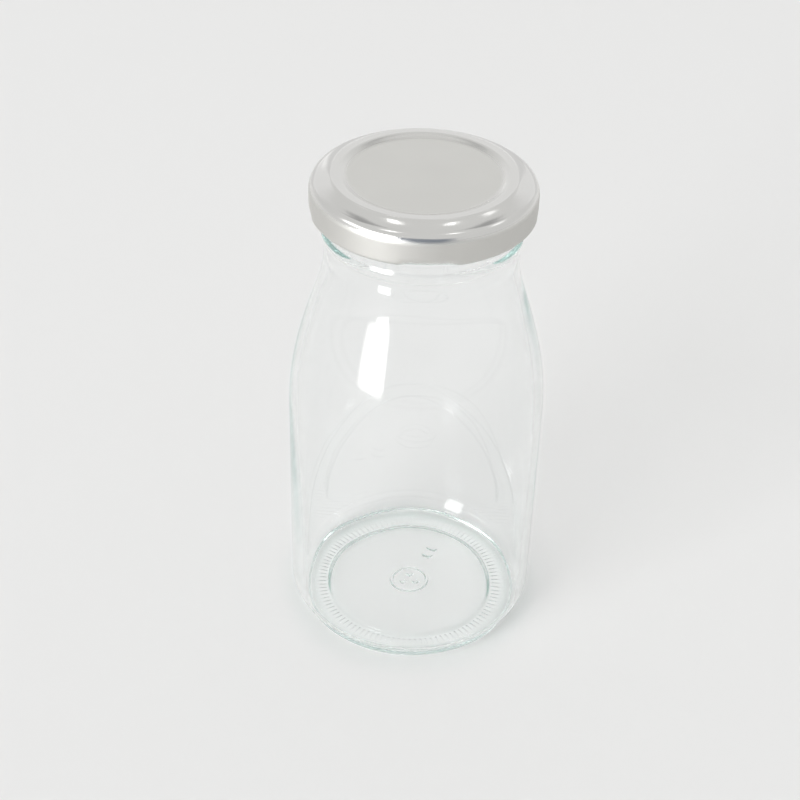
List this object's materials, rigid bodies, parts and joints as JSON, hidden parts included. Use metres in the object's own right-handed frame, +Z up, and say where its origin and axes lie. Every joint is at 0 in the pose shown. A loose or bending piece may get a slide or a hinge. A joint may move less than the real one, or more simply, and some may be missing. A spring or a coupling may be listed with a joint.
{
  "type": "glass milk bottle with twist-off lid",
  "caption": "Short wide-mouth glass milk bottle with sloping shoulders, a rounded heel and a plain silver lug lid that twists and lifts off.",
  "frame": {"origin": "middle of the foot ring, on the surface the bottle stands on", "axes": "+Z up along the bottle's axis, -Y towards the front of the bottle (one lug of the lid is 3.5 degrees from it)"},
  "size_m": [0.0672, 0.0672, 0.133],
  "materials": {
    "glass": "clear soda-lime glass, faintly green at the edges, glossy",
    "tinplate": "tin-plated steel with clear lacquer, satin panel and skirt, glossier on the drawn ledge",
    "liner": "off-white flowed-in sealing compound"
  },
  "bodies": {
    "bottle": {"bottle": "glass"},
    "liner": {"lid_liner": "liner"},
    "lid": {"lid_shell": "tinplate"}
  },
  "joints": [
    {"name": "lid_lift", "type": "slide", "parent": "bottle", "child": "liner", "axis": [0, 0, 1], "range_m": [0, 0.075]},
    {"name": "lid_turn", "type": "hinge", "parent": "liner", "child": "lid", "pos_m": [0, 0, 0.1283], "axis": [0, 0, 1], "range_deg": [-60, 0]}
  ]
}
